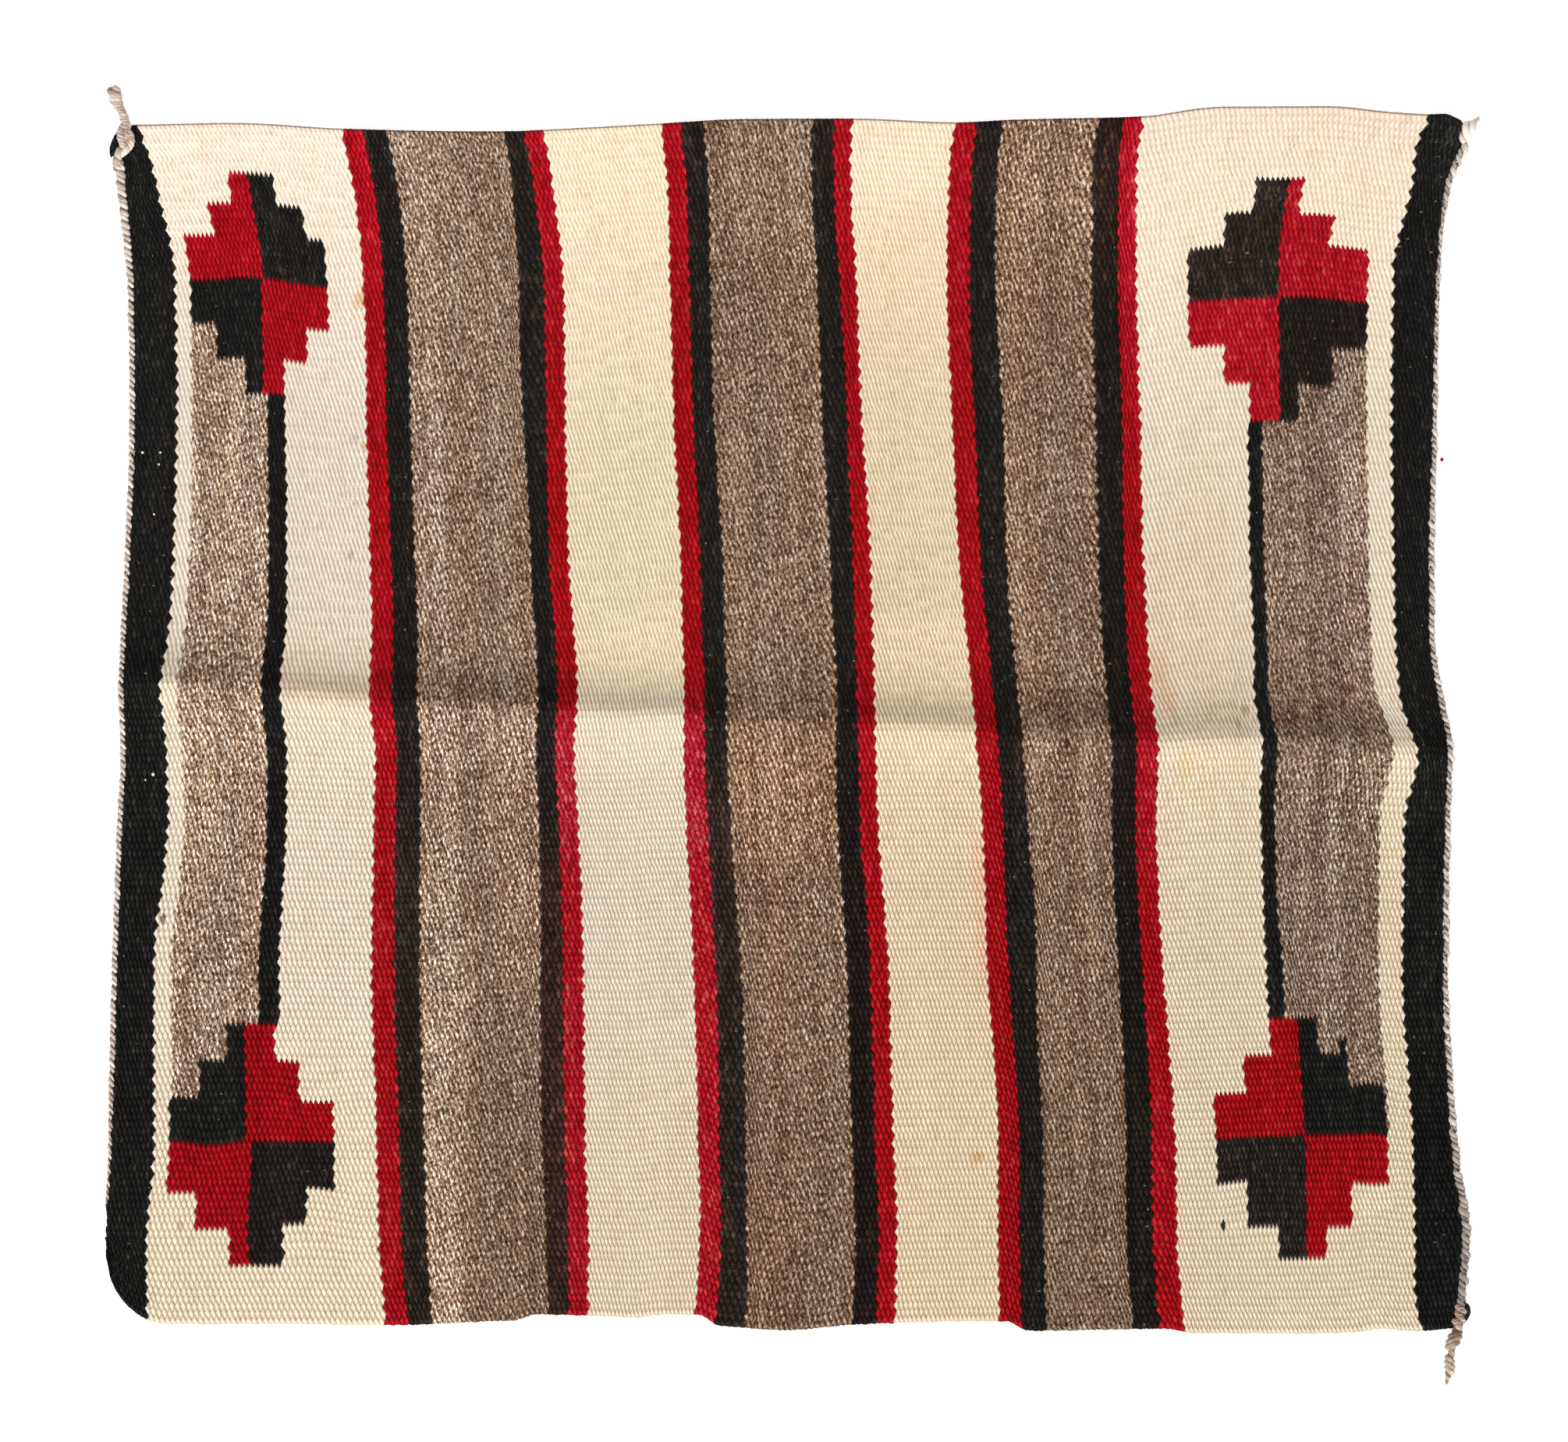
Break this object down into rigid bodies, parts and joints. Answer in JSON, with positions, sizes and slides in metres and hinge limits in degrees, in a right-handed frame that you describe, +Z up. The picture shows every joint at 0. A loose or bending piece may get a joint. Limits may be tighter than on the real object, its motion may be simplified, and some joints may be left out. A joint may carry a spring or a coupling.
{
  "type": "navajo saddle rug",
  "caption": "Flat handwoven wool saddle rug with crosswise stripes and stepped corner motifs, twined edging cords at both ends and knotted corner ties; lies on a floor or under a saddle.",
  "frame": {"origin": "middle of the whole part's outline, on the floor that the rug lies on", "axes": "+X along the warps, towards the end with the lower right tie; +Y in the plane of the rug towards the long edge with the upper left tie; +Z up out of the face that shows"},
  "size_m": [0.776, 0.7312, 0.0158],
  "materials": {
    "woven_wool": "matte ribbed wool",
    "cord_wool": "matte twisted wool yarn"
  },
  "bodies": {
    "root": {"woven_field": "woven_wool", "left_end_cord": "cord_wool", "right_end_cord": "cord_wool", "top_left_tie": "cord_wool", "bottom_right_tie": "cord_wool", "top_right_tuft": "cord_wool"}
  },
  "joints": []
}
